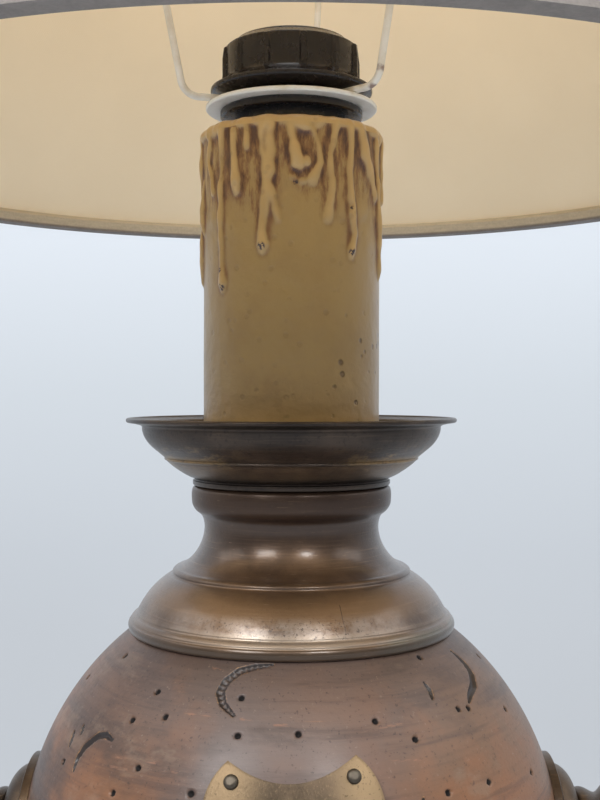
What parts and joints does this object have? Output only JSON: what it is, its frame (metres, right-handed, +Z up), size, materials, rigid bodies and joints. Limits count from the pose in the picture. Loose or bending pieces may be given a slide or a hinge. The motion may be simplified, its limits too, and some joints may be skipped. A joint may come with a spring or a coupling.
{
  "type": "candle table lamp with shade",
  "caption": "Table lamp: turned wooden ball with shield plate on a foot, bronze neck and drip pan, wax-run candle sleeve, lampholder with ring nut and wire-carried fabric shade.",
  "frame": {"origin": "centre of the felt pad's underside, on the lamp's axis, where it stands on the table", "axes": "+Z up along the threaded tube, -Y towards the front with the shield plate, +X to the right"},
  "size_m": [0.286, 0.286, 0.5051],
  "materials": {
    "zinc_steel": "zinc plated, dull",
    "felt": "pressed felt",
    "iron": "raw, oiled",
    "foot_wood": "turned, stained and waxed",
    "ball_wood": "turned, distressed, grey-brown stain, satin",
    "aged_brass": "aged, satin",
    "bronze": "burnished bronze, satin",
    "pan_bronze": "dark gunmetal bronze, worn to brass on its edges",
    "wax_resin": "cast resin with the look of old wax",
    "black_plastic": "moulded, semi-gloss",
    "ceramic": "glazed porcelain",
    "contact_brass": "bright stamped brass",
    "white_paint": "white lacquer",
    "shade_cloth": "fine plain weave, taupe",
    "shade_lining": "cream laminated lining, matte",
    "binding_cloth": "tan hem tape",
    "plate_brass": "aged stamped brass"
  },
  "bodies": {
    "lamp": {"threaded_tube": "zinc_steel", "foot_washer": "zinc_steel", "foot_nut": "zinc_steel", "pan_washer": "zinc_steel", "pan_nut": "zinc_steel", "lock_nut": "zinc_steel", "felt_pad": "felt", "base_weight": "iron", "wood_foot": "foot_wood", "cord_bush": "black_plastic", "foot_collar": "aged_brass", "wood_ball": "ball_wood", "neck_bell": "bronze", "drip_pan": "pan_bronze", "holder_cap": "black_plastic", "holder_shell": "black_plastic", "holder_insert": "ceramic", "screw_liner": "contact_brass", "side_contact": "contact_brass", "terminal_screws": "contact_brass", "shield_plate": "plate_brass", "plate_pins": "plate_brass", "rosette_right": "aged_brass", "rosette_left": "aged_brass", "knob_right": "aged_brass", "knob_left": "aged_brass", "knob_pins": "zinc_steel"},
    "candle": {"candle_sleeve": "wax_resin"},
    "shade": {"fitter_ring": "white_paint", "carrier_wire_left": "white_paint", "carrier_wire_right": "white_paint", "carrier_wire_back": "white_paint", "shade_top_ring": "white_paint", "shade_bottom_ring": "white_paint", "shade_cover": "shade_cloth", "shade_liner": "shade_lining", "bottom_binding": "binding_cloth", "top_binding": "binding_cloth"},
    "ring_nut": {"shade_ring_nut": "black_plastic"},
    "contact": {"center_contact": "contact_brass"}
  },
  "joints": [
    {"name": "shade_lift", "type": "slide", "parent": "lamp", "child": "shade", "axis": [0, 0, 1], "range_m": [0, 0.06]},
    {"name": "ring_nut_turn", "type": "hinge", "parent": "shade", "child": "ring_nut", "pos_m": [0, 0, 0.33498], "axis": [0, 0, 1], "continuous": true},
    {"name": "candle_lift", "type": "slide", "parent": "lamp", "child": "candle", "axis": [0, 0, 1], "range_m": [0, 0.0055]},
    {"name": "contact_press", "type": "slide", "parent": "lamp", "child": "contact", "axis": [0, 0, -1], "range_m": [0, 0.0015], "stiffness_N_per_m": 600}
  ]
}
